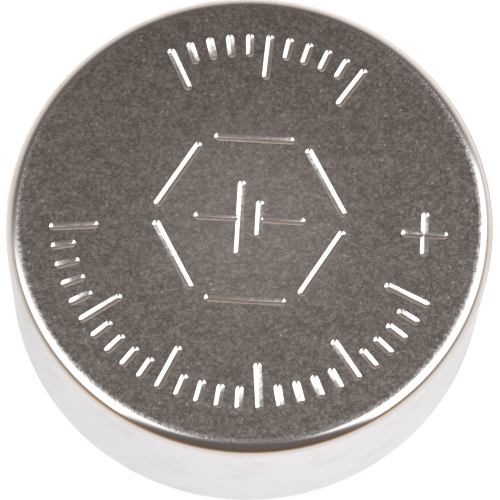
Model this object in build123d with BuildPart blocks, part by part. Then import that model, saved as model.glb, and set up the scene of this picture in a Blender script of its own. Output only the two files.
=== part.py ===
"""Alkaline button cell: a crimped steel can, a folded-rim cap, a nylon seal and the stack they close in.

Every piece but the can's stamped marks is turned about the cell's axis. Z = 0 is the negative contact
face that the cell stands on, and the positive face of the can is at the top. Lengths are millimetres
and angles are degrees.
"""

import os
from math import acos, cos, degrees, radians, sin, tan

from build123d import *

# The finished cell
cell_diameter = 11.6
cell_height = 5.4
cap_proud = 0.4  # how far the negative face stands out past the rolled rim

# Positive can, drawn from nickel-plated steel
can_sheet = 0.25
can_corner_inside = 0.07  # radius inside the drawn corner of the positive face
crimp_inside = 0.85  # radius inside the rim that is rolled in over the seal
lip_gap = 0.38  # ring of seal left open between the rolled rim and the cap's neck
lip_chamfer = 0.04  # broken edges of the rim's cut end

# Negative cap, drawn from thinner sheet, its rim folded back outside itself
cap_sheet = 0.20
cap_height = 2.77  # from the negative face to the top of the folded rim
cap_corner_inside = 0.10
neck_draft_angle = 3.0
neck_fillet = 0.08
shoulder_width = 0.62  # from the neck out to the skirt
shoulder_corner_inside = 0.08
fold_gap = 0.04  # slit left between the skirt and the leg folded back beside it
fold_length = 1.15  # from the top of the fold to the leg's cut edge

# Seal gasket, moulded nylon, J-shaped in section
seal_wall = 0.25  # between the can's wall and the folded leg
seal_nip = 0.22  # where the rolled rim pinches it on the cap's shoulder
seal_foot = 0.30  # over the top of the fold
seal_upstand = 0.25  # thickness of the short wall inside the skirt
seal_upstand_drop = 0.80  # how far that wall reaches from the foot's upper face
seal_past_lip = 0.12  # squeezed out past the rolled rim, along its arc
seal_clear_of_neck = 0.05

# Separator
barrier_thickness = 0.08
barrier_clearance = 0.05  # to the can's wall
absorbent_thickness = 0.30
absorbent_clearance = 0.03  # to the seal's upstand

# Cathode pellet, pressed hard against the can
pellet_corner_clearance = 0.05  # to the inside of the drawn corner

# Marks coined into the positive face
stroke_width = 0.18
stroke_depth = 0.05
stroke_wall_angle = 40.0  # how far the coined walls lean from upright
scale_margin = 1.05  # from the can's wall in to the strokes' outer ends
long_stroke = 1.17
short_stroke = 0.60
scale_pitch_angle = 6.0  # a minute on a dial
scale_major = 5  # every fifth stroke is a long one
lower_scale_start_angle = 186.0
lower_scale_span_angle = 150.0
upper_scale_start_angle = 57.0
upper_scale_span_angle = 60.0
plus_size = 1.12
plus_angle = -2.0
emblem_radius = 2.35  # hexagon's centre to its corners
emblem_break = 0.42  # left open at each corner, along both sides together
cell_sign_gap = 0.46  # between the two plates of the cell sign
long_plate = 1.90
short_plate = 0.95
lead_length = 1.10

# The can's inside, and the rim that is rolled about one centre
can_radius = cell_diameter / 2
can_inner = can_radius - can_sheet
can_floor = cell_height - can_sheet
can_corner = can_corner_inside + can_sheet
pellet_chamfer = can_corner_inside + pellet_corner_clearance
crimp_outside = crimp_inside + can_sheet
crimp_axis_r = can_radius - crimp_outside

# The cap's two walls, from the seal inwards
leg_outer = can_inner - seal_wall
leg_inner = leg_outer - cap_sheet
skirt_outer = leg_inner - fold_gap
skirt_inner = skirt_outer - cap_sheet
neck_top_r = skirt_outer - shoulder_width
cap_corner = cap_corner_inside + cap_sheet
shoulder_corner = shoulder_corner_inside + cap_sheet

# The rim stops where the open ring beside the neck is lip_gap wide
lip_angle = degrees(acos((neck_top_r + lip_gap - crimp_axis_r) / crimp_outside))
crimp_reach = sin(radians(min(lip_angle, 90)))
crimp_axis_z = cap_proud + crimp_outside * crimp_reach
seal_wrap = lip_angle + degrees(seal_past_lip / crimp_inside)

# Levels, from the negative face up
shoulder_z = crimp_axis_z - crimp_inside * crimp_reach + seal_nip
fold_turn_z = cap_height - cap_sheet
fold_edge_z = cap_height - fold_length
seal_top = cap_height + seal_foot
absorbent_bottom = seal_top - absorbent_thickness
upstand_bottom = seal_top - seal_upstand_drop
upstand_inner = skirt_inner - seal_upstand
barrier_top = seal_top + barrier_thickness
gel_step_z = shoulder_z + cap_sheet
neck_foot_r = neck_top_r - shoulder_z * tan(radians(neck_draft_angle))

# The marks' places on the positive face
scale_radius = can_radius - scale_margin
plus_radius = scale_radius - long_stroke / 2
plate_offset = cell_sign_gap / 2
lead_offset = plate_offset + lead_length / 2


def cap_cup(top_z: float) -> FilletPolyline:
    """Draw the cap's outer line from the axis round the neck and shoulder, and up the skirt."""
    return FilletPolyline(
        (0, 0),
        (neck_foot_r, 0),
        (neck_top_r, shoulder_z),
        (skirt_outer, shoulder_z),
        (skirt_outer, top_z),
        radius=[cap_corner, neck_fillet, shoulder_corner],
    )


def neck_inside(z: float) -> float:
    """Return the radius of the neck's inner face at a height."""
    draft = radians(neck_draft_angle)
    return neck_foot_r + z * tan(draft) - cap_sheet / cos(draft)


def scale_strokes(start_angle: float, span_angle: float) -> None:
    """Lay radial strokes round part of the face, their outer ends on one circle."""
    for index in range(round(span_angle / scale_pitch_angle) + 1):
        stroke = short_stroke if index % scale_major else long_stroke
        with PolarLocations(scale_radius - stroke / 2, 1, start_angle + index * scale_pitch_angle):
            Rectangle(stroke, stroke_width)


def plus_sign() -> None:
    """Lay the two crossed strokes that mark the positive pole, upright on the face."""
    with PolarLocations(plus_radius, 1, plus_angle, rotate=False):
        Rectangle(plus_size, stroke_width)
        Rectangle(stroke_width, plus_size)


def emblem() -> None:
    """Lay a broken hexagon round the wiring-diagram sign for a cell: two plates and their leads."""
    side_middle = emblem_radius * sin(radians(60))
    with PolarLocations(side_middle, 6, start_angle=30):
        Rectangle(stroke_width, emblem_radius - emblem_break)
    with Locations((-plate_offset, 0)):
        Rectangle(stroke_width, long_plate)
    with Locations((plate_offset, 0)):
        Rectangle(stroke_width, short_plate)
    with Locations((-lead_offset, 0), (lead_offset, 0)):
        Rectangle(lead_length, stroke_width)


# Positive can: face, drawn corner, wall and rolled rim as one line, given its sheet thickness
with BuildPart() as positive_can:
    with BuildSketch(Plane.XZ) as can_section:
        with BuildLine():
            drawn_cup = FilletPolyline(
                (0, cell_height),
                (can_radius, cell_height),
                (can_radius, crimp_axis_z),
                radius=can_corner,
            )
            JernArc(start=drawn_cup @ 1, tangent=(0, -1), radius=crimp_outside, arc_size=-lip_angle)
            offset(amount=can_sheet, side=Side.RIGHT)
        make_face()
        lip_corners = can_section.vertices().sort_by(Axis.Y)[:2]
        chamfer(lip_corners, length=lip_chamfer)
    revolve(axis=Axis.Z)
    with BuildSketch(Plane.XY.offset(cell_height)) as marks:
        scale_strokes(lower_scale_start_angle, lower_scale_span_angle)
        scale_strokes(upper_scale_start_angle, upper_scale_span_angle)
        plus_sign()
        emblem()
    extrude(amount=-stroke_depth, taper=stroke_wall_angle, mode=Mode.SUBTRACT)
positive_can.part.label = "positive_can"


# Cathode pellet: fills what the other pieces leave under the positive face
with BuildPart() as cathode_pellet:
    with BuildSketch(Plane.XY.offset(barrier_top)):
        Circle(can_inner)
    extrude(amount=can_floor - barrier_top)
    chamfer(cathode_pellet.edges().filter_by(GeomType.CIRCLE), length=pellet_chamfer)
cathode_pellet.part.label = "cathode_pellet"


# Barrier film: lies across the seal's foot, next to the pellet
with BuildPart() as barrier_film:
    with BuildSketch(Plane.XY.offset(seal_top)):
        Circle(can_inner - barrier_clearance)
    extrude(amount=barrier_thickness)
barrier_film.part.label = "barrier_film"


# Absorbent disc: drops into the seal's bore, between the film and the gel
with BuildPart() as absorbent_disc:
    with BuildSketch(Plane.XY.offset(absorbent_bottom)):
        Circle(upstand_inner - absorbent_clearance)
    extrude(amount=absorbent_thickness)
absorbent_disc.part.label = "absorbent_disc"


# Negative cap: contact face, drafted neck, shoulder, skirt and the leg folded back outside it
with BuildPart() as negative_cap:
    with BuildSketch(Plane.XZ):
        with BuildLine():
            drawn_cap = cap_cup(fold_turn_z)
            Polyline(drawn_cap @ 1, (leg_inner, fold_turn_z), (leg_inner, fold_edge_z))
            offset(amount=cap_sheet, side=Side.LEFT)
        make_face()
    revolve(axis=Axis.Z)
negative_cap.part.label = "negative_cap"


# Seal gasket: the wall follows the can and its rolled rim, then the cap's shoulder, leg and fold
with BuildPart() as seal_gasket:
    with BuildSketch(Plane.XZ):
        with BuildLine():
            outer_wall = Line((can_inner, seal_top), (can_inner, crimp_axis_z))
            wrap = JernArc(
                start=outer_wall @ 1, tangent=(0, -1), radius=crimp_inside, arc_size=-seal_wrap
            )
            ledge = Polyline(
                wrap @ 1,
                (neck_top_r + neck_fillet + seal_clear_of_neck, shoulder_z),
                (skirt_outer - shoulder_corner, shoulder_z),
            )
            heel = JernArc(start=ledge @ 1, tangent=(1, 0), radius=shoulder_corner, arc_size=90)
            Polyline(
                heel @ 1,
                (skirt_outer, fold_edge_z),
                (leg_outer, fold_edge_z),
                (leg_outer, cap_height),
                (skirt_inner, cap_height),
                (skirt_inner, upstand_bottom),
                (upstand_inner, upstand_bottom),
                (upstand_inner, seal_top),
                outer_wall @ 0,
            )
        make_face()
    revolve(axis=Axis.Z)
seal_gasket.part.label = "seal_gasket"


# Anode gel: fills the cap's inside, up to the separator and round the seal's upstand
with BuildPart() as anode_gel:
    with BuildSketch(Plane.XZ) as gel_section:
        with BuildLine():
            Polyline(
                (0, cap_sheet),
                (neck_inside(cap_sheet), cap_sheet),
                (neck_inside(gel_step_z), gel_step_z),
                (skirt_inner, gel_step_z),
                (skirt_inner, upstand_bottom),
                (upstand_inner, upstand_bottom),
                (upstand_inner, absorbent_bottom),
                (0, absorbent_bottom),
                close=True,
            )
        make_face()
        foot_corner = gel_section.vertices().group_by(Axis.Y)[0].sort_by(Axis.X)[-1]
        chamfer(foot_corner, length=cap_corner_inside)
        step_corner = gel_section.vertices().group_by(Axis.X)[-1].sort_by(Axis.Y)[0]
        chamfer(step_corner, length=shoulder_corner_inside)
    revolve(axis=Axis.Z)
anode_gel.part.label = "anode_gel"


os.makedirs("parts", exist_ok=True)
for piece in (
    positive_can,
    cathode_pellet,
    barrier_film,
    absorbent_disc,
    anode_gel,
    seal_gasket,
    negative_cap,
):
    export_step(piece.part, f"parts/{piece.part.label}.step")
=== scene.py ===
"""Dressed model of an alkaline button cell that stands on its negative face, + side up.

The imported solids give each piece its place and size. The three pieces that show, the can, the nylon
seal and the cap, are turned again here in finer steps, and the can's face gets its coined marks. Each
surface has the finish of the real metal, nylon, powder, film, fibre or gel. Lengths are millimetres in
the sections and metres in the finished meshes.
"""

import logging
import math
from dataclasses import dataclass
from enum import Enum

import bmesh
import bpy
from mathutils import Matrix, Vector


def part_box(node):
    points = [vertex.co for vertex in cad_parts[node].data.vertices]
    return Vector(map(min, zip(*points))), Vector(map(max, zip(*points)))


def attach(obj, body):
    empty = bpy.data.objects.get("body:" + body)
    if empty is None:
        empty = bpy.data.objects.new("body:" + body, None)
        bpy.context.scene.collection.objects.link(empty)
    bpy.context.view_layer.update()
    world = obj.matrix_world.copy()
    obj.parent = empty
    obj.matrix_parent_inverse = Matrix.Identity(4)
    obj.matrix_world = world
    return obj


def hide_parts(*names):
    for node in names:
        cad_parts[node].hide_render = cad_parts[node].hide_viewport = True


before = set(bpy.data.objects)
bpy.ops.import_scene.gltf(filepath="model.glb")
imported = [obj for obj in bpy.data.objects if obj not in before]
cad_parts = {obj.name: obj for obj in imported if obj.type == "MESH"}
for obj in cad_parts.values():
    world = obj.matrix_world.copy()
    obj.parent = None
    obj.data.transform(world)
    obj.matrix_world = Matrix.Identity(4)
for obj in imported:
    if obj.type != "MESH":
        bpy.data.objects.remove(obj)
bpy.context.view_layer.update()  # the imported solids, their places baked into their meshes

LOG = logging.getLogger("button_cell")
MM = 0.001
PER_MM = 1000.0
BODY = "root"
SEGMENTS = 288  # steps round a turned piece
BEND_STEP = 5.0  # degrees of a bend that one facet spans
WELD = 0.0004
CREASE = math.radians(22)  # two faces that meet at more than this keep a sharp edge

Point = tuple[float, float]
Colour = tuple[float, float, float, float]
Ramp = tuple[float, ...]  # a value's range, and what its two ends become where that isn't 0 and 1
Tree = bpy.types.NodeTree
Node = bpy.types.Node
Socket = bpy.types.NodeSocket
Source = Node | Socket  # a node stands for its first output

MATH = "ShaderNodeMath"
VECTOR_MATH = "ShaderNodeVectorMath"
NOISE = "ShaderNodeTexNoise"
RAMP = "ShaderNodeMapRange"
SMOOTH = {"interpolation_type": "SMOOTHSTEP"}  # a ramp that is smooth and stops at its ends
MIX = "ShaderNodeMix"
COLOURS = {"data_type": "RGBA"}  # a mix of colours: inputs 0, 6 and 7, output 2
POSITION = "GeometryNodeInputPosition"
ATTRIBUTE = "GeometryNodeInputNamedAttribute"
STORE = "GeometryNodeStoreNamedAttribute"


def linear(code: str) -> Colour:
    """Turn an sRGB hex colour into the linear values that the nodes take.

    Args:
        code: The colour, such as "#8E8781".

    Returns:
        Red, green, blue and an opacity of 1.
    """
    levels = [int(code[place : place + 2], 16) / 255 for place in (1, 3, 5)]
    red, green, blue = (
        level / 12.92 if level <= 0.04045 else ((level + 0.055) / 1.055) ** 2.4 for level in levels
    )
    return red, green, blue, 1.0


def feed(tree: Tree, node: Node, inputs: dict[str | int, object] | tuple[object, ...]) -> None:
    """Set or link a node's inputs.

    Args:
        tree: The node tree that it is in.
        node: The node.
        inputs: What each input gets, by its name or number, or in order: a value, a socket to link, or a
            node, which stands for its first output.
    """
    for key, value in inputs.items() if isinstance(inputs, dict) else enumerate(inputs):
        source = value.outputs[0] if isinstance(value, Node) else value
        if isinstance(source, Socket):
            tree.links.new(source, node.inputs[key])
        else:
            node.inputs[key].default_value = source


def add_node(
    tree: Tree,
    kind: str,
    inputs: dict[str | int, object] | tuple[object, ...] = (),
    **settings: object,
) -> Node:
    """Add one node with its settings, values and links.

    Args:
        tree: The node tree that gets it.
        kind: The node's type, such as "ShaderNodeMath".
        inputs: What each input gets, as feed takes it.
        **settings: Properties of the node itself.

    Returns:
        The new node.
    """
    node = tree.nodes.new(kind)
    for name, value in settings.items():
        setattr(node, name, value)
    feed(tree, node, inputs)
    return node


@dataclass(frozen=True)
class Corner:
    """A corner of a turned piece's section: distance from the axis, height and the radius that rounds it."""

    r: float
    z: float
    bend: float = 0.0


def arc(centre: Point, radius: float, start: float, end: float) -> list[Point]:
    """Lay points along an arc.

    Args:
        centre: The arc's centre, as distance from the axis and height.
        radius: The arc's radius.
        start: The angle of its first point, in degrees from straight out.
        end: The angle of its last point.

    Returns:
        The points, both ends among them.
    """
    steps = max(1, math.ceil(abs(end - start) / BEND_STEP))
    angles = (math.radians(start + (end - start) * step / steps) for step in range(steps + 1))
    return [(centre[0] + radius * math.cos(a), centre[1] + radius * math.sin(a)) for a in angles]


def rounded(corners: list[Corner]) -> list[Point]:
    """Follow a line of corners and round those that have a bend radius.

    Args:
        corners: The corners in order. The first and the last stay sharp.

    Returns:
        The points of the line.
    """
    points = [(corners[0].r, corners[0].z)]
    for before, corner, after in zip(corners, corners[1:], corners[2:]):
        here = Vector((corner.r, corner.z))
        back = (Vector((before.r, before.z)) - here).normalized()
        ahead = (Vector((after.r, after.z)) - here).normalized()
        if not corner.bend:
            points.append(here.to_tuple())
            continue
        half = back.angle(ahead) / 2
        centre = here + (back + ahead).normalized() * (corner.bend / math.sin(half))
        reach = corner.bend / math.tan(half)
        start, end = (
            math.degrees(math.atan2(*reversed(here + side * reach - centre))) for side in (back, ahead)
        )
        sweep = (end - start + 180) % 360 - 180
        points += arc(centre.to_tuple(), corner.bend, start, start + sweep)
    points.append((corners[-1].r, corners[-1].z))
    return points


def bulged(start: Point, end: Point, rise: float) -> list[Point]:
    """Join two points by an arc that bulges to the left of the way from one to the other.

    Args:
        start: The arc's first point.
        end: Its last point.
        rise: How far its middle stands off the straight line, as a share of that line.

    Returns:
        The arc's points.
    """
    first, last = Vector(start), Vector(end)
    chord = last - first
    sagitta = rise * chord.length
    radius = chord.length**2 / (8 * sagitta) + sagitta / 2
    left = Vector((-chord.y, chord.x)).normalized()
    centre = (first + last) / 2 + left * (sagitta - radius)
    begin, finish = (math.degrees(math.atan2(*reversed(tip - centre))) for tip in (first, last))
    sweep = (finish - begin + 180) % 360 - 180
    return arc(centre.to_tuple(), radius, begin, begin + sweep)


def new_tree(name: str, inputs: dict[str, str]) -> tuple[Tree, Node]:
    """Start a geometry node tree with a mesh coming in, a mesh going out and named inputs.

    Args:
        name: The tree's name.
        inputs: The socket type of each named input.

    Returns:
        The tree and its Group Input node.
    """
    tree = bpy.data.node_groups.new(name, "GeometryNodeTree")
    tree.interface.new_socket("Mesh", in_out="INPUT", socket_type="NodeSocketGeometry")
    for label, kind in inputs.items():
        tree.interface.new_socket(label, in_out="INPUT", socket_type=kind)
    tree.interface.new_socket("Mesh", in_out="OUTPUT", socket_type="NodeSocketGeometry")
    return tree, add_node(tree, "NodeGroupInput")


def close_tree(tree: Tree, mesh: Source, finish: Socket, faces: Socket | bool = True) -> None:
    """End a tree as every one here ends: real meshes, with their material.

    Args:
        tree: The tree to end.
        mesh: The geometry that it has made.
        finish: The input that holds the material.
        faces: The faces that get it.
    """
    real = add_node(tree, "GeometryNodeRealizeInstances", {"Geometry": mesh})
    inputs = {"Geometry": real, "Selection": faces, "Material": finish}
    dressed = add_node(tree, "GeometryNodeSetMaterial", inputs)
    add_node(tree, "NodeGroupOutput", {"Mesh": dressed})


def turning_tree() -> Tree:
    """Build the tree that turns a section round the cell's axis.

    The points of the incoming mesh are the section, in order. A grid with one column for each step round
    the axis and one row for each point is wrapped on them, and its seam and poles are welded.

    Returns:
        The tree, with the inputs Steps, Weld and Finish.
    """
    tree, group = new_tree(
        "turned_section",
        {"Steps": "NodeSocketInt", "Weld": "NodeSocketFloat", "Finish": "NodeSocketMaterial"},
    )
    section = group.outputs["Mesh"]
    count = add_node(tree, "GeometryNodeAttributeDomainSize", {"Geometry": section}).outputs["Point Count"]
    columns = add_node(tree, MATH, (group.outputs["Steps"], 1.0), operation="ADD")
    sizes = {"Size X": math.tau, "Size Y": 1.0, "Vertices X": columns, "Vertices Y": count}
    grid = add_node(tree, "GeometryNodeMeshGrid", sizes)
    position = add_node(tree, POSITION)
    place = add_node(tree, "ShaderNodeSeparateXYZ", {0: position}).outputs
    share = add_node(tree, MATH, (place["Y"], 0.5), operation="ADD")
    last = add_node(tree, MATH, (count, 1.0), operation="SUBTRACT")
    row = add_node(tree, MATH, (share, last), operation="MULTIPLY")
    index = add_node(tree, "FunctionNodeFloatToInt", {0: row}, rounding_mode="ROUND")
    found = {"Geometry": section, "Value": position, "Index": index}
    point = add_node(tree, "GeometryNodeSampleIndex", found, data_type="FLOAT_VECTOR")
    turn = {"Vector": point, "Angle": place["X"]}
    turned = add_node(tree, "ShaderNodeVectorRotate", turn, rotation_type="Z_AXIS")
    wrapped = add_node(tree, "GeometryNodeSetPosition", {"Geometry": grid, "Position": turned})
    seams = {"Geometry": wrapped, "Distance": group.outputs["Weld"]}
    welded = add_node(tree, "GeometryNodeMergeByDistance", seams)
    close_tree(tree, welded, group.outputs["Finish"])
    return tree


def coining_tree() -> Tree:
    """Build the tree that stamps marks into the incoming mesh.

    One punch is a cone with its point cut off, pulled out along its stroke, so a mark is a groove with
    sloping walls and round ends. Strokes come from the points of another object, which hold the turn of
    each stroke and half the length of its straight part.

    Returns:
        The tree, with the inputs Strokes, Sides, Mouth, Keel, Height and Finish.
    """
    tree, group = new_tree(
        "coined_marks",
        {
            "Strokes": "NodeSocketObject",
            "Sides": "NodeSocketInt",
            "Mouth": "NodeSocketFloat",
            "Keel": "NodeSocketFloat",
            "Height": "NodeSocketFloat",
            "Finish": "NodeSocketMaterial",
        },
    )
    given = group.outputs
    position = add_node(tree, POSITION)
    strokes = add_node(tree, "GeometryNodeObjectInfo", {"Object": given["Strokes"]}).outputs["Geometry"]
    middles = {"Geometry": strokes, "Name": "middle", "Value": position}
    kept = add_node(tree, STORE, middles, data_type="FLOAT_VECTOR")

    # One punch, a side of it square to its stroke
    cone = add_node(
        tree,
        "GeometryNodeMeshCone",
        {
            "Vertices": given["Sides"],
            "Radius Top": given["Mouth"],
            "Radius Bottom": given["Keel"],
            "Depth": given["Height"],
        },
    )
    half_side = add_node(tree, MATH, (math.pi, given["Sides"]), operation="DIVIDE")
    spun = add_node(tree, "ShaderNodeCombineXYZ", {"Z": half_side})
    punch = add_node(tree, "GeometryNodeTransform", {"Geometry": cone, "Rotation": spun})

    # A copy of it on each stroke's middle, turned along the stroke
    turn = add_node(tree, ATTRIBUTE, {"Name": "turn"})
    turning = add_node(tree, "ShaderNodeCombineXYZ", {"Z": turn})
    copies = {"Points": kept, "Instance": punch, "Rotation": turning}
    placed = add_node(tree, "GeometryNodeInstanceOnPoints", copies)
    real = add_node(tree, "GeometryNodeRealizeInstances", {"Geometry": placed})

    # Each half of a copy is pulled to its own end of the stroke
    cosine = add_node(tree, MATH, {0: turn}, operation="COSINE")
    sine = add_node(tree, MATH, {0: turn}, operation="SINE")
    along = add_node(tree, "ShaderNodeCombineXYZ", {"X": cosine, "Y": sine})
    middle = add_node(tree, ATTRIBUTE, {"Name": "middle"}, data_type="FLOAT_VECTOR")
    off_middle = add_node(tree, VECTOR_MATH, (position, middle), operation="SUBTRACT")
    ahead = add_node(tree, VECTOR_MATH, (off_middle, along), operation="DOT_PRODUCT").outputs["Value"]
    side = add_node(tree, MATH, {0: ahead}, operation="SIGN")
    reach = add_node(tree, ATTRIBUTE, {"Name": "reach"})
    pull = add_node(tree, MATH, (side, reach), operation="MULTIPLY")
    shift = add_node(tree, VECTOR_MATH, {0: along, "Scale": pull}, operation="SCALE")
    pulled = add_node(tree, "GeometryNodeSetPosition", {"Geometry": real, "Offset": shift})

    # The punches' faces keep a flag, so that the grooves they leave get their own finish
    flags = {"Geometry": pulled, "Name": "coined", "Value": True}
    marked = add_node(tree, STORE, flags, data_type="BOOLEAN", domain="FACE")
    solids = {"Mesh 1": given["Mesh"], "Mesh 2": marked, "Self Intersection": True}
    stamped = add_node(tree, "GeometryNodeMeshBoolean", solids, operation="DIFFERENCE", solver="EXACT")
    grooves = add_node(tree, ATTRIBUTE, {"Name": "coined"}, data_type="BOOLEAN")
    close_tree(tree, stamped, given["Finish"], grooves.outputs["Attribute"])
    return tree


def run_tree(piece: bpy.types.Object, tree: Tree, values: dict[str, object]) -> None:
    """Give a piece a geometry node tree and set the tree's named inputs.

    Args:
        piece: The object that gets the modifier.
        tree: The tree it runs.
        values: The value of each named input.
    """
    modifier = piece.modifiers.new(tree.name, "NODES")
    modifier.node_group = tree
    sockets = {item.name: item.identifier for item in tree.interface.items_tree if item.in_out == "INPUT"}
    for name, value in values.items():
        modifier[sockets[name]] = value


def settle(piece: bpy.types.Object) -> None:
    """Turn a piece's trees into plain faces in metres, wound outwards, smooth up to a crease or a mark.

    Args:
        piece: The object, still in millimetres and with its modifiers.
    """
    graph = bpy.context.evaluated_depsgraph_get()
    mesh = bpy.data.meshes.new_from_object(piece.evaluated_get(graph))
    piece.modifiers.clear()
    while mesh.materials and mesh.materials[0] is None:
        mesh.materials.pop(index=0)
    piece.data = mesh
    shape = bmesh.new()
    shape.from_mesh(mesh)
    bmesh.ops.recalc_face_normals(shape, faces=shape.faces)
    for edge in shape.edges:
        finishes = {face.material_index for face in edge.link_faces}
        edge.smooth = len(finishes) == 1 and edge.calc_face_angle(math.pi) < CREASE
    for face in shape.faces:
        face.smooth = True
    open_edges = sum(1 for edge in shape.edges if not edge.is_manifold)
    shape.to_mesh(mesh)
    shape.free()
    mesh.transform(Matrix.Scale(MM, 4))
    mesh.name = piece.name
    LOG.info("%s: %d faces, %d open edges", piece.name, len(mesh.polygons), open_edges)


@dataclass
class CellSection:
    """The sizes that the can, the seal and the cap share where they close on each other."""

    radius: float  # of the can, over its wall
    height: float
    cap_height: float
    seal_top: float
    can_sheet: float = 0.25
    can_corner_inside: float = 0.07
    crimp_inside: float = 0.85
    lip_gap: float = 0.38
    cap_proud: float = 0.4
    cap_sheet: float = 0.20
    neck_fillet: float = 0.08
    shoulder_width: float = 0.62
    shoulder_corner_inside: float = 0.08
    fold_gap: float = 0.04
    fold_length: float = 1.15
    seal_wall: float = 0.25
    seal_nip: float = 0.22

    @classmethod
    def from_frame(cls) -> "CellSection":
        """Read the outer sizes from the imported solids.

        Returns:
            The section, with its other sizes as they stand above.
        """
        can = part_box("positive_can")[1]
        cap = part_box("negative_cap")[1]
        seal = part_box("seal_gasket")[1]
        return cls(radius=can.x / MM, height=can.z / MM, cap_height=cap.z / MM, seal_top=seal.z / MM)

    @property
    def can_inner(self) -> float:
        """Inside radius of the can's wall."""
        return self.radius - self.can_sheet

    @property
    def leg_outer(self) -> float:
        """Outside radius of the leg that the cap's rim is folded back into."""
        return self.can_inner - self.seal_wall

    @property
    def leg_inner(self) -> float:
        """Inside radius of that leg."""
        return self.leg_outer - self.cap_sheet

    @property
    def skirt_outer(self) -> float:
        """Outside radius of the cap's skirt."""
        return self.leg_inner - self.fold_gap

    @property
    def skirt_inner(self) -> float:
        """Inside radius of the cap's skirt."""
        return self.skirt_outer - self.cap_sheet

    @property
    def neck_top(self) -> float:
        """Radius of the cap's neck where it meets the shoulder."""
        return self.skirt_outer - self.shoulder_width

    @property
    def crimp_outside(self) -> float:
        """Radius outside the rolled rim."""
        return self.crimp_inside + self.can_sheet

    @property
    def lip_angle(self) -> float:
        """How far the rim is rolled in, in degrees."""
        reach = self.neck_top + self.lip_gap - (self.radius - self.crimp_outside)
        return math.degrees(math.acos(reach / self.crimp_outside))

    @property
    def crimp_centre(self) -> Point:
        """Centre of the rolled rim's section."""
        drop = math.sin(math.radians(self.lip_angle))
        return self.radius - self.crimp_outside, self.cap_proud + self.crimp_outside * drop

    @property
    def shoulder(self) -> float:
        """Height of the cap's shoulder, that the rim pinches the seal against."""
        drop = math.sin(math.radians(self.lip_angle))
        return self.crimp_centre[1] - self.crimp_inside * drop + self.seal_nip

    @property
    def fold_centre(self) -> Point:
        """Centre of the fold's section."""
        return self.skirt_outer + self.fold_gap / 2, self.cap_height - self.fold_gap / 2 - self.cap_sheet

    @property
    def fold_edge(self) -> float:
        """Height of the folded leg's cut edge."""
        return self.cap_height - self.fold_length


def turned_piece(name: str, points: list[Point], finish: bpy.types.Material) -> bpy.types.Object:
    """Start a turned piece: its section's points, and the tree that turns them.

    Args:
        name: The piece's name.
        points: The section, as distances from the axis and heights. Its two ends are on the axis, or
            meet each other.
        finish: The material of all of it.

    Returns:
        The object, still in millimetres, with its tree live.
    """
    mesh = bpy.data.meshes.new(name)
    mesh.from_pydata([(r, 0.0, z) for r, z in points], [], [])
    piece = bpy.data.objects.new(name, mesh)
    bpy.context.scene.collection.objects.link(piece)
    run_tree(piece, turning_tree(), {"Steps": SEGMENTS, "Weld": WELD, "Finish": finish})
    return piece


def seat(piece: bpy.types.Object, node: str) -> None:
    """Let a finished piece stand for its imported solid.

    Args:
        piece: The finished object.
        node: The solid's name, which is its material slot's name too.
    """
    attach(piece, BODY)
    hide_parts(node)


@dataclass(frozen=True)
class Stroke:
    """One straight mark on the can's face: its middle, its turn from +X in degrees and its length."""

    x: float
    y: float
    turn: float
    length: float


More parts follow.
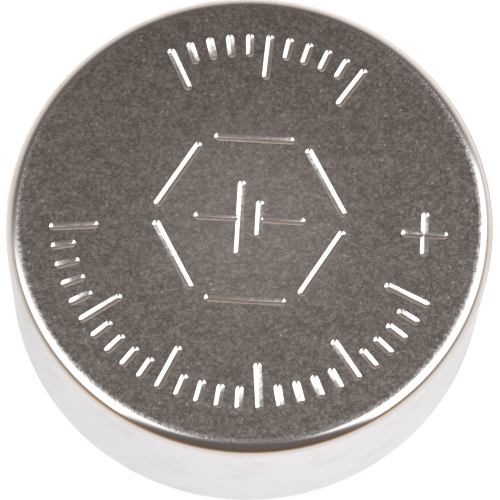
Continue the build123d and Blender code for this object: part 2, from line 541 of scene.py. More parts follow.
@dataclass
class CoinedMarks:
    """The marks coined into the can's face: two minute scales, a plus sign and a cell sign in a hexagon."""

    face: float  # height of the can's face
    scale_radius: float = 4.75
    width: float = 0.195
    depth: float = 0.034
    keel: float = 0.004  # half the flat at a groove's bottom
    rise: float = 0.02  # how far the punch stands out over the face
    sides: int = 20
    long_stroke: float = 1.17
    short_stroke: float = 0.60
    pitch: float = 6.0  # degrees, a minute on a dial
    major: int = 5  # every fifth stroke is a long one
    scales: tuple[tuple[float, float], ...] = ((186.0, 150.0), (57.0, 60.0))  # start and span
    plus_size: float = 1.12
    plus_turn: float = -2.0  # degrees from +X to its place
    emblem_radius: float = 2.35
    emblem_break: float = 0.42  # left open at each corner, along both sides together
    plate_gap: float = 0.46
    long_plate: float = 1.90
    short_plate: float = 0.95
    lead: float = 1.10

    def scale_strokes(self) -> list[Stroke]:
        """Lay the scales' strokes along spokes, their outer ends on one circle.

        Returns:
            The strokes, scale by scale.
        """
        strokes = []
        for start, span in self.scales:
            for index in range(round(span / self.pitch) + 1):
                length = self.short_stroke if index % self.major else self.long_stroke
                turn = start + index * self.pitch
                reach = self.scale_radius - length / 2
                angle = math.radians(turn)
                strokes.append(Stroke(reach * math.cos(angle), reach * math.sin(angle), turn, length))
        return strokes

    def plus_sign(self) -> list[Stroke]:
        """Cross two strokes at the positive mark's place.

        Returns:
            The two strokes.
        """
        reach = self.scale_radius - self.long_stroke / 2
        angle = math.radians(self.plus_turn)
        x, y = reach * math.cos(angle), reach * math.sin(angle)
        return [Stroke(x, y, turn, self.plus_size) for turn in (0.0, 90.0)]

    def emblem(self) -> list[Stroke]:
        """Draw the cell sign, two plates and their leads, in a hexagon that is open at its corners.

        Returns:
            The hexagon's six strokes and the sign's four.
        """
        middle = self.emblem_radius * math.sin(math.radians(60))
        side = self.emblem_radius - self.emblem_break
        strokes = []
        for index in range(6):
            turn = 30.0 + 60.0 * index
            angle = math.radians(turn)
            strokes.append(Stroke(middle * math.cos(angle), middle * math.sin(angle), turn + 90.0, side))
        plate = self.plate_gap / 2
        lead = plate + self.lead / 2
        strokes += [
            Stroke(-plate, 0.0, 90.0, self.long_plate),
            Stroke(plate, 0.0, 90.0, self.short_plate),
            Stroke(-lead, 0.0, 0.0, self.lead),
            Stroke(lead, 0.0, 0.0, self.lead),
        ]
        return strokes

    def holder(self) -> bpy.types.Object:
        """Put every stroke's middle, turn and reach in a mesh of points, for the coining tree to read.

        Returns:
            The object that holds the points.
        """
        strokes = self.scale_strokes() + self.plus_sign() + self.emblem()
        height = self.face - self.depth
        mesh = bpy.data.meshes.new("strokes")
        mesh.from_pydata([(stroke.x, stroke.y, height) for stroke in strokes], [], [])
        turns = mesh.attributes.new("turn", "FLOAT", "POINT")
        turns.data.foreach_set("value", [math.radians(stroke.turn) for stroke in strokes])
        reaches = mesh.attributes.new("reach", "FLOAT", "POINT")
        reaches.data.foreach_set("value", [(stroke.length - self.width) / 2 for stroke in strokes])
        holder = bpy.data.objects.new("strokes", mesh)
        bpy.context.scene.collection.objects.link(holder)
        return holder

    def stamp(self, piece: bpy.types.Object, finish: bpy.types.Material) -> bpy.types.Object:
        """Coin the marks into a piece.

        Args:
            piece: The turned can, in millimetres.
            finish: The finish of the grooves.

        Returns:
            The object that holds the strokes, to be removed once the piece is settled.
        """
        holder = self.holder()
        slope = (self.width / 2 - self.keel) / self.depth
        values = {
            "Strokes": holder,
            "Sides": self.sides,
            "Mouth": self.width / 2 + self.rise * slope,
            "Keel": self.keel,
            "Height": self.depth + self.rise,
            "Finish": finish,
        }
        run_tree(piece, coining_tree(), values)
        return holder


@dataclass
class PositiveCan:
    """The drawn can: flat face, drawn corner, straight wall and the rim rolled in under the seal."""

    section: CellSection
    lip_round: float = 0.05
    flat_rings: tuple[float, ...] = (0.40, 0.20)  # rings inside the flat's edge keep its shading flat
    roll_off: float = 4.0  # degrees that the flat's edge droops before the drawn corner
    roll_radius: float = 1.5

    def points(self) -> list[Point]:
        """Follow the can's sheet: its outside down to the lip, and its inside back up.

        Returns:
            The section, from the axis to the axis.
        """
        s = self.section
        corner = s.can_corner_inside + s.can_sheet
        centre = (s.radius - corner, s.height - corner)
        start = centre[0] - (self.roll_radius - corner) * math.sin(math.radians(self.roll_off))
        droop = arc((start, s.height - self.roll_radius), self.roll_radius, 90.0, 90.0 - self.roll_off)
        outside = [*droop[:-1], *arc(centre, corner, 90.0 - self.roll_off, 0.0)]
        inside = rounded(
            [
                Corner(s.can_inner, s.crimp_centre[1]),
                Corner(s.can_inner, s.height - s.can_sheet, s.can_corner_inside),
                Corner(0.0, s.height - s.can_sheet),
            ]
        )
        rings = [(start - inset, s.height) for inset in self.flat_rings]
        return [(0.0, s.height), *rings, *outside, *self.rolled_rim(), *inside[1:]]

    def rolled_rim(self) -> list[Point]:
        """Follow the rolled rim: outside arc, rounded lip and inside arc.

        Returns:
            Its points, from the foot of the wall's outside to the foot of its inside.
        """
        s = self.section
        lip = -s.lip_angle
        points = arc(s.crimp_centre, s.crimp_outside, 0.0, lip + self.lip_step(s.crimp_outside, -1))
        for radius, way in ((s.crimp_outside, -1), (s.crimp_inside, 1)):
            angle = math.radians(lip + self.lip_step(radius, way))
            reach = radius + way * self.lip_round
            centre = (
                s.crimp_centre[0] + reach * math.cos(angle),
                s.crimp_centre[1] + reach * math.sin(angle),
            )
            start = math.degrees(angle) if way < 0 else lip - 90.0
            end = lip - 90.0 if way < 0 else math.degrees(angle) - 180.0
            points += arc(centre, self.lip_round, start, end)
        return points + arc(s.crimp_centre, s.crimp_inside, lip + self.lip_step(s.crimp_inside, 1), 0.0)

    def lip_step(self, radius: float, way: int) -> float:
        """Work out how far before the lip its rounding begins, in degrees."""
        return math.degrees(math.asin(self.lip_round / (radius + way * self.lip_round)))

    def build(self, plate: bpy.types.Material, coined: bpy.types.Material) -> bpy.types.Object:
        """Turn the can and coin its face.

        Args:
            plate: The finish of the nickel plate.
            coined: The finish of the coined grooves.

        Returns:
            The finished piece.
        """
        piece = turned_piece("can", self.points(), plate)
        marks = CoinedMarks(face=self.section.height)
        strokes = marks.stamp(piece, coined)
        settle(piece)
        bpy.data.objects.remove(strokes)
        seat(piece, "positive_can")
        return piece


@dataclass
class NegativeCap:
    """The drawn cap: contact face, drafted neck, shoulder, skirt and the rim folded back outside it."""

    section: CellSection
    corner_inside: float = 0.10
    draft: float = 3.0  # degrees that the neck leans

    def neck(self, height: float, inset: float = 0.0) -> float:
        """Find the neck's radius at a height.

        Args:
            height: The height.
            inset: How far in from the neck's outside, square to it.

        Returns:
            The radius.
        """
        lean = math.radians(self.draft)
        below = self.section.shoulder - height
        return self.section.neck_top - below * math.tan(lean) - inset / math.cos(lean)

    def points(self) -> list[Point]:
        """Follow the cap's sheet: its outside to the leg's cut edge, and its inside back.

        Returns:
            The section, from the axis to the axis.
        """
        s = self.section
        step = s.shoulder + s.cap_sheet
        outside = rounded(
            [
                Corner(0.0, 0.0),
                Corner(self.neck(0.0), 0.0, self.corner_inside + s.cap_sheet),
                Corner(s.neck_top, s.shoulder, s.neck_fillet),
                Corner(s.skirt_outer, s.shoulder, s.shoulder_corner_inside + s.cap_sheet),
                Corner(s.skirt_outer, s.fold_centre[1]),
            ]
        )
        inside = rounded(
            [
                Corner(s.skirt_inner, s.fold_centre[1]),
                Corner(s.skirt_inner, step, s.shoulder_corner_inside),
                Corner(self.neck(step, s.cap_sheet), step, s.neck_fillet + s.cap_sheet),
                Corner(self.neck(s.cap_sheet, s.cap_sheet), s.cap_sheet, self.corner_inside),
                Corner(0.0, s.cap_sheet),
            ]
        )
        slit = arc(s.fold_centre, s.fold_gap / 2, 180.0, 0.0)
        leg = [(s.leg_inner, s.fold_edge), (s.leg_outer, s.fold_edge)]
        fold = arc(s.fold_centre, s.fold_gap / 2 + s.cap_sheet, 0.0, 180.0)
        return [*outside[:-1], *slit, *leg, *fold, *inside[1:]]

    def build(self, plate: bpy.types.Material) -> bpy.types.Object:
        """Turn the cap.

        Args:
            plate: The finish of its nickel plate.

        Returns:
            The finished piece.
        """
        piece = turned_piece("cap", self.points(), plate)
        settle(piece)
        seat(piece, "negative_cap")
        return piece


@dataclass
class SealGasket:
    """The moulded seal: its wall wraps the can's rim, and its groove holds the cap's folded rim."""

    section: CellSection
    upstand: float = 0.25
    upstand_drop: float = 0.80
    past_lip: float = 0.12
    clear_of_neck: float = 0.05
    bulge: float = 0.25  # of the nose that is squeezed out past the lip, as a share of its width

    def points(self) -> list[Point]:
        """Follow the seal's section once round, from the top of its wall.

        Returns:
            The section, its last point on its first.
        """
        s = self.section
        wrap = s.lip_angle + math.degrees(self.past_lip / s.crimp_inside)
        rolled = arc(s.crimp_centre, s.crimp_inside, 0.0, -wrap)
        nose_end = (s.neck_top + s.neck_fillet + self.clear_of_neck, s.shoulder)
        nose = bulged(rolled[-1], nose_end, self.bulge)
        groove = rounded(
            [
                Corner(*nose_end),
                Corner(s.skirt_outer, s.shoulder, s.shoulder_corner_inside + s.cap_sheet),
                Corner(s.skirt_outer, s.fold_edge),
                Corner(s.leg_outer, s.fold_edge),
                Corner(*s.fold_centre),
            ]
        )
        over_fold = arc(s.fold_centre, s.fold_gap / 2 + s.cap_sheet, 0.0, 180.0)
        bottom = s.seal_top - self.upstand_drop
        upstand = [
            (s.skirt_inner, bottom),
            (s.skirt_inner - self.upstand, bottom),
            (s.skirt_inner - self.upstand, s.seal_top),
        ]
        top = (s.can_inner, s.seal_top)
        return [top, *rolled, *nose[1:-1], *groove[:-1], *over_fold, *upstand, top]

    def build(self, nylon: bpy.types.Material) -> bpy.types.Object:
        """Turn the seal.

        Args:
            nylon: Its finish.

        Returns:
            The finished piece.
        """
        piece = turned_piece("seal", self.points(), nylon)
        settle(piece)
        seat(piece, "seal_gasket")
        return piece


@dataclass(frozen=True)
class Finish:
    """What every finish has: a name, and the values that are the same all over its surface."""

    name: str
    colour: str
    roughness: float
    metallic: float = 0.0

    def make(self) -> bpy.types.Material:
        """Build the material, with its patterns laid out in millimetres of the object.

        Returns:
            The material.
        """
        material = bpy.data.materials.new(self.name)
        material.use_nodes = True
        tree = material.node_tree
        tree.nodes.clear()
        own = add_node(tree, "ShaderNodeTexCoord").outputs["Object"]
        place = add_node(tree, VECTOR_MATH, {0: own, "Scale": PER_MM}, operation="SCALE")
        same = {"Base Color": linear(self.colour), "Roughness": self.roughness, "Metallic": self.metallic}
        shader = add_node(tree, "ShaderNodeBsdfPrincipled", same)
        self.work(tree, place, shader)
        add_node(tree, "ShaderNodeOutputMaterial", {"Surface": shader})
        return material

    def work(self, tree: Tree, place: Node, shader: Node) -> None:
        """Add the finish's own grain, colour and relief.

        Args:
            tree: The material's nodes.
            place: The point on the object, in millimetres.
            shader: The Principled shader that the patterns feed.
        """
        raise NotImplementedError


@dataclass(frozen=True)
class BlastedNickel(Finish):
    """Nickel plate on the can: bead-blasted grey on the flat face, darkened by painted shade, bright round
    the rim and down the wall.

    Its ramps by height, by distance from the axis and by depth from front to back are in millimetres.
    """

    # The plate is a mirror, so the rim and the wall show hard bands of white and dark. The beads took that
    # off the face, which is left an even matt grey with single bright specks. That grey is partly the duller
    # blasted plate and partly painted shade: it is darker than the plate, for the dark room that the face
    # mirrors, and its bright specks are painted glints.
    name: str = "nickel_plate_blasted_face"
    colour: str = "#DBDBDC"
    roughness: float = 0.16
    metallic: float = 1.0
    # Painted shade: the face's colour is darker than the plate's own, for the dark room that the face
    # mirrors
    face: str = "#6C635F"
    face_pale: str = "#CCC4BF"
    face_roughness: float = 0.30

    # Real blasting is finer: its grain and dimples, and the painted glints, are drawn as coarse as they need
    # to show
    grain: float = 0.036
    dimple: float = 0.085
    cloud: float = 0.34
    painted_glint: float = 0.13
    detail: float = 2.0
    cloud_detail: float = 4.0
    depth: float = 0.008
    dimple_depth: float = 1.4  # against the grain's 1
    bite: Ramp = (5.393, 5.3999, 0.015, 0.31)  # how much of the relief there is, by height

    # Where the beads struck: out to a ragged edge on the rim, and no lower than the drawn corner's upper
    # part
    fade: Ramp = (5.40, 5.49, 1.0, 0.0)
    struck: Ramp = (5.2, 5.3)
    grain_reach: float = 0.08  # how far the grain moves that edge
    dimple_reach: float = 0.18

    # How pale the face is, from the axis out and by its speckle, with painted glints that crowd towards the
    # rim
    middle: Ramp = (0.8, 3.4, 0.46, 0.235)
    outskirts: Ramp = (3.2, 5.3, 0.0, -0.035)
    grain_tone: Ramp = (0.28, 0.78, -0.17, 0.26)
    dimple_tone: Ramp = (0.35, 0.8, -0.05, 0.29)
    cloud_tone: Ramp = (0.3, 0.75, -0.05, 0.08)
    # Painted glints: pale specks in the colour where the blasted grain would catch the light, more of them
    # near the rim
    painted_glint_crowd: Ramp = (4.8, 5.4, 0.0, 0.08)
    painted_glint_tone: Ramp = (0.6, 0.95, 0.0, 0.6)
    painted_glint_reach: Ramp = (0.1, 0.38, 1.0, 0.0)

    # A painted warm reflection: a warmer line low on the drawn corner, strongest in front
    painted_warm_reflection: str = "#CEB9A0"
    line_foot: Ramp = (5.22, 5.29)
    line_top: Ramp = (5.31, 5.34, 1.0, 0.0)
    line_front: Ramp = (-3.0, -5.4, 0.3, 1.0)

    # Stains from handling: faint patches, with specks where a patch is strong
    stain: str = "#BFB3A6"
    patch: float = 1.1
    spot: float = 0.16
    stain_detail: float = 4.0
    stain_edge: float = 0.6  # how rough the patches' edges are
    patch_tone: Ramp = (0.45, 0.75, 0.0, 0.25)
    patch_core: Ramp = (0.5, 0.62)
    spot_tone: Ramp = (0.6, 0.75)
    spot_share: float = 0.5

    def work(self, tree: Tree, place: Node, shader: Node) -> None:
        """Lay the blasted face, darkened by painted shade, its speckle with painted glints, and the bright
        rim.

        Args:
            tree: The material's nodes.
            place: The point on the object, in millimetres.
            shader: The Principled shader that the patterns feed.
        """
        flat = add_node(tree, VECTOR_MATH, (place, (1.0, 1.0, 0.0)), operation="MULTIPLY")
        radius = add_node(tree, VECTOR_MATH, {0: flat}, operation="LENGTH").outputs["Value"]
        height = add_node(tree, "ShaderNodeSeparateXYZ", {0: place}).outputs["Z"]
        grain, dimples = (
            add_node(tree, NOISE, {"Vector": place, "Scale": 1 / size, "Detail": self.detail})
            for size in (self.grain, self.dimple)
        )
        blasted = self.blasted(tree, radius, height, grain, dimples)
        pale = self.speckle(tree, place, radius, grain, dimples)
        face = add_node(tree, MIX, {0: pale, 6: linear(self.face), 7: linear(self.face_pale)}, **COLOURS)
        bright = self.wall(tree, place, height)
        colour = add_node(tree, MIX, {0: blasted, 6: bright, 7: face.outputs[2]}, **COLOURS)
        rough = add_node(tree, RAMP, (blasted, 0.0, 1.0, self.roughness, self.face_roughness), **SMOOTH)
        relief = add_node(tree, MATH, (dimples, self.dimple_depth, grain), operation="MULTIPLY_ADD")
        bite = add_node(tree, RAMP, (height, *self.bite), **SMOOTH)
        raised = {"Height": relief, "Distance": self.depth * MM, "Strength": bite}
        bump = add_node(tree, "ShaderNodeBump", raised)
        feed(tree, shader, {"Base Color": colour.outputs[2], "Roughness": rough, "Normal": bump})

    def blasted(self, tree: Tree, radius: Socket, height: Socket, grain: Node, dimples: Node) -> Node:
        """Find where the beads struck: on the flat face, thinning out over the rim in specks.

        Args:
            tree: The material's nodes.
            radius: The point's distance from the axis, in millimetres.
            height: Its height.
            grain: The blasting's fine grain.
            dimples: The larger dimples.

        Returns:
            1 on the face, 0 on the rim and the wall.
        """
        reach, wide = self.grain_reach, self.dimple_reach
        fine = add_node(tree, MATH, (grain, reach, -reach / 2), operation="MULTIPLY_ADD")
        even = add_node(tree, MATH, (fine, -wide / 2), operation="ADD")
        ragged = add_node(tree, MATH, (dimples, wide, even), operation="MULTIPLY_ADD")
        moved = add_node(tree, MATH, (ragged, radius), operation="ADD")
        inward = add_node(tree, RAMP, (moved, *self.fade), **SMOOTH)
        struck = add_node(tree, RAMP, (height, *self.struck), **SMOOTH)
        return add_node(tree, MATH, (inward, struck), operation="MULTIPLY")

    def speckle(self, tree: Tree, place: Node, radius: Socket, grain: Node, dimples: Node) -> Node:
        """Mottle the face: its grain and dimples, faint clouds, bright flecks that are painted glints, more
        of them towards the rim, and a paler middle.

        Args:
            tree: The material's nodes.
            place: The point on the object, in millimetres.
            radius: Its distance from the axis.
            grain: The blasting's fine grain.
            dimples: The larger dimples.

        Returns:
            How pale the face is, from 0 to 1.
        """
        clouding = {"Vector": place, "Scale": 1 / self.cloud, "Detail": self.cloud_detail}
        clouds = add_node(tree, NOISE, clouding)
        # Painted glints: bright flecks in single cells, more of them near the rim
        cells = add_node(tree, "ShaderNodeTexVoronoi", {"Vector": place, "Scale": 1 / self.painted_glint}).outputs
        crowd = add_node(tree, RAMP, (radius, *self.painted_glint_crowd), **SMOOTH)
        chance = add_node(tree, MATH, (cells["Color"], crowd), operation="ADD")
        tone = add_node(tree, RAMP, (chance, *self.painted_glint_tone), **SMOOTH)
        inside = add_node(tree, RAMP, (cells["Distance"], *self.painted_glint_reach), **SMOOTH)
        painted_glint = add_node(tree, MATH, (tone, inside), operation="MULTIPLY")
        pale, *parts = (
            add_node(tree, RAMP, (source, *ramp), **SMOOTH)
            for source, ramp in (
                (radius, self.middle),
                (radius, self.outskirts),
                (grain, self.grain_tone),
                (dimples, self.dimple_tone),
                (clouds, self.cloud_tone),
            )
        )
        for part in (*parts, painted_glint):
            pale = add_node(tree, MATH, (pale, part), operation="ADD")
        return pale

    def wall(self, tree: Tree, place: Node, height: Socket) -> Socket:
        """Colour the bright plate: a painted warm reflection low on the drawn corner, and faint stains from
        handling.

        Args:
            tree: The material's nodes.
            place: The point on the object, in millimetres.
            height: Its height.

        Returns:
            The plate's colour.
        """
        rough = {"Detail": self.stain_detail, "Roughness": self.stain_edge}
        patches, spots = (
            add_node(tree, NOISE, {"Vector": place, "Scale": 1 / size, **rough})
            for size in (self.patch, self.spot)
        )
        depth = add_node(tree, "ShaderNodeSeparateXYZ", {0: place}).outputs["Y"]
        # Painted warm reflection: a band low on the corner, strongest in front
        band = add_node(tree, RAMP, (height, *self.line_foot), **SMOOTH)
        for source, ramp in ((height, self.line_top), (depth, self.line_front)):
            limit = add_node(tree, RAMP, (source, *ramp), **SMOOTH)
            band = add_node(tree, MATH, (band, limit), operation="MULTIPLY")
        line = add_node(tree, MIX, {0: band, 6: linear(self.colour), 7: linear(self.painted_warm_reflection)}, **COLOURS)
        handled = add_node(tree, RAMP, (patches, *self.patch_tone), **SMOOTH)
        core = add_node(tree, RAMP, (patches, *self.patch_core), **SMOOTH)
        spotted = add_node(tree, RAMP, (spots, *self.spot_tone), **SMOOTH)
        specks = add_node(tree, MATH, (core, spotted), operation="MULTIPLY")
        stained = add_node(tree, MATH, (specks, self.spot_share, handled), operation="MULTIPLY_ADD")
        plate = {0: stained, 6: line.outputs[2], 7: linear(self.stain)}
        return add_node(tree, MIX, plate, **COLOURS).outputs[2]


@dataclass(frozen=True)
class CoinedNickel(Finish):
    """Nickel plate in the coined grooves: pressed smooth and bright, with the ripple of a worn die."""

    # Smooth sloping walls mirror the room, so a groove flashes pale along one side and stays dark on the
    # other, against the matt face
    name: str = "nickel_plate_coined"
    colour: str = "#EFEDEB"
    roughness: float = 0.18
    metallic: float = 1.0
    ripple: float = 0.22
    detail: float = 1.0
    depth: float = 0.005

    def work(self, tree: Tree, place: Node, shader: Node) -> None:
        """Add the ripple.

        Args:
            tree: The material's nodes.
            place: The point on the object, in millimetres.
            shader: The Principled shader that the pattern feeds.
        """
        ripple = add_node(tree, NOISE, {"Vector": place, "Scale": 1 / self.ripple, "Detail": self.detail})
        raised = {"Height": ripple, "Distance": self.depth * MM, "Strength": 1.0}
        feed(tree, shader, {"Normal": add_node(tree, "ShaderNodeBump", raised)})


@dataclass(frozen=True)
class SatinNickel(Finish):
    """Nickel plate on the cap: satin, with fine scratches from handling."""

    # Satin plate blurs what it mirrors into broad soft bands, and the scratches streak them. Grain and
    # scratches are wider than real ones, to show
    name: str = "nickel_plate_satin"
    colour: str = "#D8D4CE"
    roughness: float = 0.28
    metallic: float = 1.0
    dull: str = "#CBC6BF"
    dull_roughness: float = 0.42
    grain: float = 0.06
    grain_detail: float = 3.0
    grain_tone: Ramp = (0.3, 0.7)
    scratch: float = 1.4
    scratch_stretch: tuple[float, float, float] = (0.35, 9.0, 1.0)
    scratch_detail: float = 4.0
    scratch_span: Point = (0.35, 0.65)
    scratch_depth: float = 0.6  # against the grain's 1
    depth: float = 0.0012

    def work(self, tree: Tree, place: Node, shader: Node) -> None:
        """Add the satin grain and the scratches.

        Args:
            tree: The material's nodes.
            place: The point on the object, in millimetres.
            shader: The Principled shader that the patterns feed.
        """
        fine = {"Vector": place, "Scale": 1 / self.grain, "Detail": self.grain_detail}
        grain = add_node(tree, NOISE, fine)
        along = add_node(tree, "ShaderNodeMapping", {0: place, "Scale": self.scratch_stretch})
        streaks = {"Vector": along, "Scale": 1 / self.scratch, "Detail": self.scratch_detail}
        scratches = add_node(tree, NOISE, streaks)
        shine = (scratches, *self.scratch_span, self.roughness, self.dull_roughness)
        rough = add_node(tree, RAMP, shine, **SMOOTH)
        tint = add_node(tree, RAMP, (grain, *self.grain_tone), **SMOOTH)
        colour = add_node(tree, MIX, {0: tint, 6: linear(self.dull), 7: linear(self.colour)}, **COLOURS)
        relief = add_node(tree, MATH, (scratches, self.scratch_depth, grain), operation="MULTIPLY_ADD")
        raised = {"Height": relief, "Distance": self.depth * MM, "Strength": 1.0}
        bump = add_node(tree, "ShaderNodeBump", raised)
        feed(tree, shader, {"Base Color": colour.outputs[2], "Roughness": rough, "Normal": bump})


class Grain(Enum):
    """The shape of a finish's grains."""

    SOFT = "ShaderNodeTexNoise"
    CELLS = "ShaderNodeTexVoronoi"


@dataclass(frozen=True)
class Grains(Finish):
    """A moulding, a pressed powder, a fibre mat, a film or a gel: two colours in grains of one size."""

    second: str = "#000000"
    grain: float = 0.1
    depth: float = 0.004
    detail: float = 3.0
    span: Point = (0.25, 0.75)
    stretch: tuple[float, float, float] = (1.0, 1.0, 1.0)
    clear: float = 0.0
    kind: Grain = Grain.SOFT

    def work(self, tree: Tree, place: Node, shader: Node) -> None:
        """Add the grains.

        Args:
            tree: The material's nodes.
            place: The point on the object, in millimetres.
            shader: The Principled shader that the patterns feed.
        """
        drawn = add_node(tree, "ShaderNodeMapping", {0: place, "Scale": self.stretch})
        size = {"Vector": drawn, "Scale": 1 / self.grain, "Detail": self.detail}
        grains = add_node(tree, self.kind.value, size)
        mottle = add_node(tree, RAMP, (grains, *self.span), **SMOOTH)
        colour = add_node(tree, MIX, {0: mottle, 6: linear(self.colour), 7: linear(self.second)}, **COLOURS)
        raised = {"Height": grains, "Distance": self.depth * MM, "Strength": 1.0}
        bump = add_node(tree, "ShaderNodeBump", raised)
        feed(
            tree,
            shader,
            {"Base Color": colour.outputs[2], "Normal": bump, "Transmission Weight": self.clear},
        )


# Moulded nylon has the mould's matt grain, so the ring stays near black with no clear highlight. The
# grain is wider than a mould's, to show
SEAL_FINISH = Grains(
    name="nylon_moulded_black",
    colour="#1B1B1D",
    roughness=0.5,
    second="#29292B",
    grain=0.05,
    depth=0.003,
    detail=2.0,
    span=(0.3, 0.7),
)

STACK_FINISHES = {
    # Black powder, pressed in a die: dull, with the odd glint of graphite
    "cathode_pellet": Grains(
        name="manganese_dioxide_pellet",
        colour="#131314",
        roughness=0.72,
        second="#2B2B2D",
        grain=0.08,
        depth=0.006,
    ),
    # Thin cast film: yellowish, glossy and half clear
    "barrier_film": Grains(
        name="separator_film",
        colour="#D8CFA8",
        roughness=0.28,
        second="#E6DFC0",
        grain=0.6,
        depth=0.001,
        clear=0.35,
    ),
    # Non-woven fibre: off-white and matt, streaked the way that more of its fibres lie
    "absorbent_disc": Grains(
        name="separator_fibre",
        colour="#D9D5C8",
        roughness=0.9,
        second="#F0EEE6",
        grain=0.10,
        depth=0.02,
        stretch=(0.3, 1.6, 1.0),
    ),
    # Gel full of metal powder: grey and wet, with a glitter of single grains
    "anode_gel": Grains(
        name="zinc_powder_gel",
        colour="#55595E",
        roughness=0.3,
        metallic=0.5,
        second="#8C9096",
        grain=0.12,
        depth=0.01,
        kind=Grain.CELLS,
    ),
}


def dress_stack() -> None:
    """Give each solid that stays as packed, the stack inside the cell, its finish."""
    for node, finish in STACK_FINISHES.items():
        material = finish.make()
        for slot in bpy.data.objects[node].material_slots:
            slot.material = material
        LOG.info("%s: finish %s", node, material.name)


class Side(Enum):
    """Which side of the cell a soft box hangs on."""

    LEFT = -1.0
    RIGHT = 1.0


@dataclass(frozen=True)
class SoftBox:
    """A soft white panel overhead, to one side. Its edges are given per unit of its height."""

    side: Side
    inner: float  # its near edge, out to the side
    outer: float
    front: float  # how far forward it reaches, for each unit out to the side
    back: float
    back_lean: float = 0.0  # how far its back edge goes further back, for each unit out to the side
    strength: float = 1.9
    soft: float = 0.12
    fade: float = 0.3  # of its outer edge


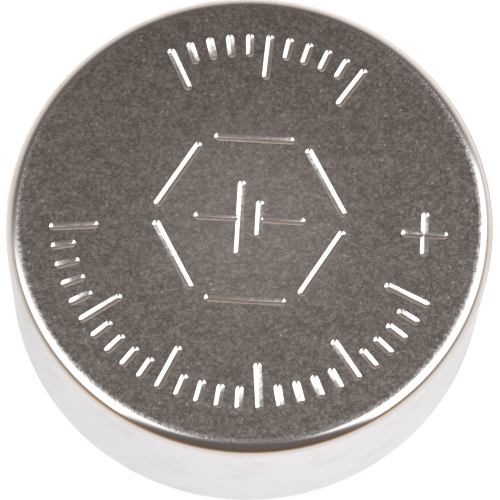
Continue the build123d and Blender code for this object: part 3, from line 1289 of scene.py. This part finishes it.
@dataclass(frozen=True)
class Studio:
    """The light: soft boxes left and right overhead, a pale sweep behind and a dim room in front."""

    boxes: tuple[SoftBox, ...] = (
        SoftBox(Side.LEFT, inner=0.10, outer=1.38, front=1.24, back=0.29),
        SoftBox(Side.RIGHT, inner=0.17, outer=1.90, front=0.96, back=0.33, back_lean=0.58, soft=0.06),
    )
    lowest: float = 0.05  # a direction's height counts as at least this where the boxes are laid out

    # The sweep, by how far a direction climbs. It reaches higher behind and to the left
    room: str = "#6E655F"
    sweep: str = "#F0EDEB"
    sweep_shaded: str = "#C2AD9B"  # the sweep where it turns up into the dark
    below: str = "#EAE4DC"
    sweep_behind: float = -0.27
    sweep_left: float = -0.16
    shading: Ramp = (-0.05, 0.45)
    darkening: Ramp = (0.08, 0.66)
    horizon: Ramp = (-0.02, 0.0)

    # The floor: a white sheet on a table, as the plate mirrors it
    floor_size: float = 400.0
    floor_hole: float = 4.0
    floor_steps: int = 96
    floor_matt: str = "#D9D8D9"
    floor_near: str = "#FBFAFC"
    floor_far: str = "#EADDCF"  # the table beyond the sheet
    floor_glow: float = 0.50
    seen_glow: float = 1.5  # how much more of it the camera sees
    sheet_end: Ramp = (0.008, 0.020)  # in metres from the axis
    far_gain: float = 0.35  # of the table: twice this straight behind, and none in front
    corner_gain: float = -2.0  # behind to the left the sheet is brighter, and to the right darker
    beside: Ramp = (0.8, 1.0, 1.0, 0.88)  # and straight to the sides a little darker

    def sky(self) -> None:
        """Build the world: the room, the sweep and the boxes for the object, white for the camera."""
        world = bpy.data.worlds.new("studio")
        bpy.context.scene.world = world
        world.use_nodes = True
        tree = world.node_tree
        tree.nodes.clear()
        way = add_node(tree, "ShaderNodeTexCoord").outputs["Generated"]
        x, y, z = add_node(tree, "ShaderNodeSeparateXYZ", {0: way}).outputs
        high = add_node(tree, MATH, (z, self.lowest), operation="MAXIMUM")
        out = add_node(tree, MATH, (x, high), operation="DIVIDE")
        deep = add_node(tree, MATH, (y, high), operation="DIVIDE")
        flipped = add_node(tree, MATH, (x, -1.0), operation="MULTIPLY")
        left = add_node(tree, MATH, (flipped, 0.0), operation="MAXIMUM")
        climb = add_node(tree, MATH, (left, self.sweep_left, z), operation="MULTIPLY_ADD")
        climb = add_node(tree, MATH, (y, self.sweep_behind, climb), operation="MULTIPLY_ADD")
        shade = add_node(tree, RAMP, (climb, *self.shading), **SMOOTH)
        dark = add_node(tree, RAMP, (climb, *self.darkening), **SMOOTH)
        horizon = add_node(tree, RAMP, (z, *self.horizon), **SMOOTH)
        sweep = {0: shade, 6: linear(self.sweep), 7: linear(self.sweep_shaded)}
        colour = add_node(tree, MIX, sweep, **COLOURS).outputs[2]
        colour = add_node(tree, MIX, {0: dark, 6: colour, 7: linear(self.room)}, **COLOURS).outputs[2]
        for box in self.boxes:
            inside = self.panel(tree, out, deep, box)
            white = (box.strength, box.strength, box.strength, 1.0)
            colour = add_node(tree, MIX, {0: inside, 6: colour, 7: white}, **COLOURS).outputs[2]
        colour = add_node(tree, MIX, {0: horizon, 6: linear(self.below), 7: colour}, **COLOURS).outputs[2]
        seen = add_node(tree, "ShaderNodeLightPath").outputs["Is Camera Ray"]
        colour = add_node(tree, MIX, {0: seen, 6: colour, 7: (1.0, 1.0, 1.0, 1.0)}, **COLOURS).outputs[2]
        light = add_node(tree, "ShaderNodeBackground", {"Color": colour, "Strength": 1.0})
        add_node(tree, "ShaderNodeOutputWorld", {"Surface": light})

    def panel(self, tree: Tree, out: Node, deep: Node, box: SoftBox) -> Node:
        """Be 1 where a direction meets a soft box and 0 outside it.

        Args:
            tree: The world's nodes.
            out: The direction's reach to the right, per unit of height.
            deep: Its reach to the back, per unit of height.
            box: The soft box.

        Returns:
            The box's share.
        """
        aside = add_node(tree, MATH, (out, box.side.value), operation="MULTIPLY")
        ahead = add_node(tree, MATH, (aside, box.front, deep), operation="MULTIPLY_ADD")
        behind = add_node(tree, MATH, (aside, -box.back_lean, deep), operation="MULTIPLY_ADD")
        share, *edges = (
            add_node(tree, RAMP, edge, **SMOOTH)
            for edge in (
                (aside, box.inner - box.soft / 2, box.inner + box.soft / 2),
                (aside, box.outer + box.fade, box.outer - box.fade),
                (ahead, -box.soft, box.soft),
                (behind, box.back + box.soft, box.back - box.soft),
            )
        )
        for edge in edges:
            share = add_node(tree, MATH, (share, edge), operation="MULTIPLY")
        return share

    def floor(self) -> bpy.types.Object:
        """Build the pale floor. It is open under the cell, and clear from below, to show the underside.

        Returns:
            The floor.
        """
        shape = bmesh.new()
        rings = []
        for radius in (self.floor_hole, self.floor_size):
            angles = (math.tau * step / self.floor_steps for step in range(self.floor_steps))
            ring = ((radius * MM * math.cos(a), radius * MM * math.sin(a), 0.0) for a in angles)
            rings.append([shape.verts.new(place) for place in ring])
        hole, edge = rings
        for step in range(self.floor_steps):
            after = (step + 1) % self.floor_steps
            shape.faces.new((hole[step], edge[step], edge[after], hole[after]))
        mesh = bpy.data.meshes.new("floor")
        shape.to_mesh(mesh)
        shape.free()
        mesh.materials.append(self.floor_finish())
        floor = bpy.data.objects.new("floor", mesh)
        bpy.context.scene.collection.objects.link(floor)
        return floor

    def floor_finish(self) -> bpy.types.Material:
        """Build the floor's white, clear from below.

        Returns:
            The material.
        """
        # Matt white paper, which takes the cell's shadow. It glows where the camera or a reflection sees
        # it, so that its white is as clean as in the photograph
        material = bpy.data.materials.new("floor_white")
        material.use_nodes = True
        tree = material.node_tree
        tree.nodes.clear()
        place = add_node(tree, "ShaderNodeTexCoord").outputs["Object"]
        away = add_node(tree, VECTOR_MATH, {0: place}, operation="LENGTH").outputs["Value"]
        way = add_node(tree, VECTOR_MATH, {0: place}, operation="NORMALIZE")
        x, y = add_node(tree, "ShaderNodeSeparateXYZ", {0: way}).outputs[:2]
        far = add_node(tree, RAMP, (away, *self.sheet_end), **SMOOTH)
        ray = add_node(tree, "ShaderNodeLightPath").outputs
        rays = (ray["Is Glossy Ray"], ray["Is Transmission Ray"])
        mirrored = add_node(tree, MATH, rays, operation="MAXIMUM")
        gain = self.mirrored_gain(tree, x, y, far)
        mirrored = add_node(tree, MATH, (mirrored, gain), operation="MULTIPLY")
        seen = (ray["Is Camera Ray"], self.seen_glow, mirrored)
        lift = add_node(tree, MATH, seen, operation="MULTIPLY_ADD")
        strength = add_node(tree, MATH, (lift, self.floor_glow), operation="MULTIPLY")
        sheet = {0: far, 6: linear(self.floor_near), 7: linear(self.floor_far)}
        tint = add_node(tree, MIX, sheet, **COLOURS).outputs[2]
        matt = add_node(tree, "ShaderNodeBsdfDiffuse", {"Color": linear(self.floor_matt)})
        glow = add_node(tree, "ShaderNodeEmission", {"Color": tint, "Strength": strength})
        white = add_node(tree, "ShaderNodeAddShader", (matt, glow))
        clear = add_node(tree, "ShaderNodeBsdfTransparent")
        below = add_node(tree, "ShaderNodeNewGeometry").outputs["Backfacing"]
        surface = add_node(tree, "ShaderNodeMixShader", (below, white, clear))
        add_node(tree, "ShaderNodeOutputMaterial", {"Surface": surface})
        return material

    def mirrored_gain(self, tree: Tree, x: Socket, y: Socket, far: Node) -> Node:
        """Work out how bright the plate mirrors the floor.

        Args:
            tree: The floor's nodes.
            x: How far to the right the point lies, from -1 to 1.
            y: How far to the back, from -1 to 1.
            far: 0 on the sheet and 1 on the table beyond it.

        Returns:
            The brightness, no less than 0.
        """
        back = add_node(tree, MATH, (y, 0.0), operation="MAXIMUM")
        corner = add_node(tree, MATH, (x, back), operation="MULTIPLY")
        level = add_node(tree, MATH, (y, self.far_gain, self.far_gain), operation="MULTIPLY_ADD")
        table = add_node(tree, MATH, (far, level), operation="MULTIPLY")
        near = add_node(tree, MATH, (1.0, far), operation="SUBTRACT")
        shaded = add_node(tree, MATH, (corner, self.corner_gain), operation="MULTIPLY")
        sheet = add_node(tree, MATH, (shaded, near), operation="MULTIPLY")
        sideways = add_node(tree, MATH, {0: x}, operation="ABSOLUTE")
        beside = add_node(tree, RAMP, (sideways, *self.beside), **SMOOTH)
        gain = add_node(tree, MATH, (table, beside), operation="ADD")
        gain = add_node(tree, MATH, (sheet, gain), operation="ADD")
        return add_node(tree, MATH, (gain, 0.0), operation="MAXIMUM")

    def build(self) -> None:
        """Set up the world and the floor."""
        self.sky()
        LOG.info("floor: %d faces", len(self.floor().data.polygons))


@dataclass(frozen=True)
class Viewpoint:
    """Where the photograph was taken from, from a fit of its circles. Lengths are millimetres."""

    elevation: float = 70.5  # degrees
    distance: float = 81.0
    roll: float = 3.33  # degrees
    lens: float = 238.3
    sensor: float = 36.0
    nearest: float = 1.0  # nothing nearer than this is drawn
    target: float = 2.7  # height of the point on the axis that it looks at
    aside: float = 0.060  # how far the view's middle is right of that point
    above: float = 0.152

    def build(self) -> None:
        """Add the camera and make it the scene's."""
        camera = bpy.data.objects.new("camera", bpy.data.cameras.new("camera"))
        bpy.context.scene.collection.objects.link(camera)
        camera.data.lens = self.lens
        camera.data.sensor_width = self.sensor
        camera.data.clip_start = self.nearest * MM
        tilt = math.radians(self.elevation)
        back = Vector((0.0, -math.cos(tilt), math.sin(tilt)))
        roll = Matrix.Rotation(math.radians(self.roll), 3, "Z")
        turn = (-back).to_track_quat("-Z", "Y").to_matrix() @ roll
        middle = Vector((0.0, 0.0, self.target)) + turn @ Vector((self.aside, self.above, 0.0))
        camera.matrix_world = Matrix.Translation((middle + back * self.distance) * MM) @ turn.to_4x4()
        bpy.context.scene.camera = camera


def main() -> None:
    """Build the cell's pieces, the studio and the camera."""
    logging.basicConfig(level=logging.INFO, format="%(name)s: %(message)s")
    bpy.context.scene.view_settings.view_transform = "Standard"
    section = CellSection.from_frame()
    PositiveCan(section).build(BlastedNickel().make(), CoinedNickel().make())
    SealGasket(section).build(SEAL_FINISH.make())
    NegativeCap(section).build(SatinNickel().make())
    dress_stack()
    Studio().build()
    Viewpoint().build()


if __name__ == "__main__":
    main()
